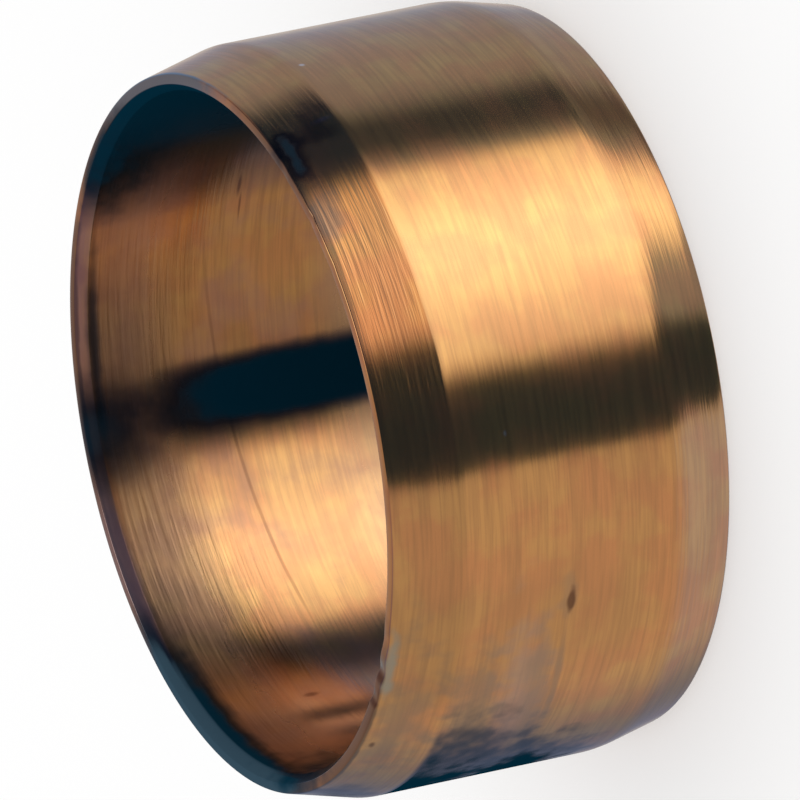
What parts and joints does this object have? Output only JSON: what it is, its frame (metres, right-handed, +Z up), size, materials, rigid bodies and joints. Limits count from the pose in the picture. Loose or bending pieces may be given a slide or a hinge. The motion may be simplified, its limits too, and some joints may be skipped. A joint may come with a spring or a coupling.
{
  "type": "compression ring",
  "caption": "Thin brass compression ring with a straight bore, a plain land round its middle and a seat cone at each end.",
  "frame": {"origin": "on the axis of the bore, in the plane of the lower lip that the ring stands on", "axes": "+Z up along the axis of the bore, from the lower lip, whose cone is the shorter one, to the upper lip; X and Y are alike because the ring is turned"},
  "size_m": [0.0168, 0.0168, 0.0082],
  "materials": {
    "brass": "turned and brushed brass, tarnished to a copper tone, satin"
  },
  "bodies": {
    "root": {"compression_ring": "brass"}
  },
  "joints": []
}
